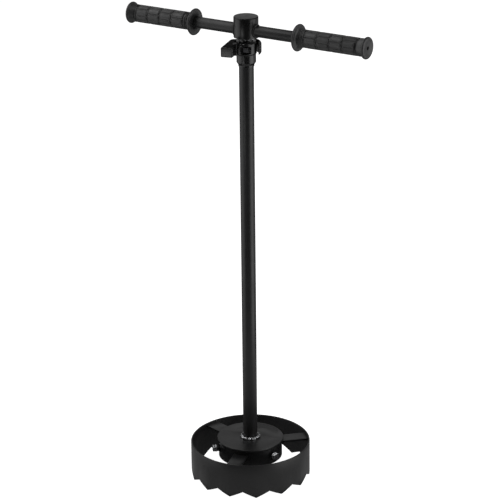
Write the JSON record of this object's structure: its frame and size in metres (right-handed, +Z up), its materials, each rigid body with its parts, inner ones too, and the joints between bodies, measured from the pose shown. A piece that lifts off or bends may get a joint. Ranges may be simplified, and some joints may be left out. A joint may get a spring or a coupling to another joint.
{
  "type": "turf ring cutter",
  "caption": "Hand-turned ring cutter for turf: a toothed steel ring on a spoked hub, a long tube and a telescoping T-handle locked by a cam-lever collar.",
  "frame": {"origin": "on the shaft tube's axis, in the plane of the tooth tips", "axes": "+Z up the shaft tube, +X along the handlebar, +Y across it; the shaft and base are turned 14.4 degrees about Z from the handlebar"},
  "size_m": [0.528, 0.2408, 0.954],
  "materials": {
    "coated_steel": "satin black powder coat with a fine orange-peel texture",
    "coated_weld": "black powder coat over rippled weld metal",
    "coated_casting": "satin black coated die casting",
    "coated_head": "satin black coat on turned steel tube",
    "cap_plastic": "smooth black moulded plastic",
    "zinc_steel": "bright zinc plating",
    "black_steel": "blackened steel",
    "nylon": "black nylon",
    "grip_rubber": "matte moulded rubber"
  },
  "bodies": {
    "base": {"blade_ring": "coated_steel", "spoke_front": "coated_steel", "spoke_right": "coated_steel", "spoke_left": "coated_steel", "hub_ring": "coated_steel", "hub_skirt": "coated_steel", "base_disc": "coated_steel", "weld_nuts": "coated_steel", "shaft_tube": "coated_steel", "foot_weld": "coated_weld", "clamp_collar": "coated_casting", "tension_bolt": "black_steel", "captive_nut": "black_steel", "anchor_screw": "black_steel", "thrust_pad": "nylon", "hub_bolts": "zinc_steel", "spring_washers": "zinc_steel"},
    "lever": {"cam_lever": "coated_casting", "pivot_pin": "black_steel", "pin_clip": "black_steel"},
    "guide": {"guide_bush": "nylon"},
    "handle": {"handlebar": "coated_steel", "stem_tube": "coated_head", "head_sleeve": "coated_head", "head_cap": "cap_plastic", "stem_weld": "coated_weld", "bar_welds": "coated_weld", "left_grip": "grip_rubber", "right_grip": "grip_rubber", "stem_plug": "black_steel", "keeper_washer": "black_steel", "keeper_screw": "black_steel"}
  },
  "joints": [
    {"name": "lever_hinge", "type": "hinge", "parent": "base", "child": "lever", "pos_m": [-0.01039, -0.02187, 0.893], "axis": [0, 0, 1], "range_deg": [0, 50]},
    {"name": "handle_height", "type": "slide", "parent": "base", "child": "guide", "axis": [0, 0, 1], "range_m": [0, 0.2]},
    {"name": "handle_swivel", "type": "hinge", "parent": "guide", "child": "handle", "pos_m": [0, 0, 0.6], "axis": [0, 0, 1], "continuous": true}
  ]
}
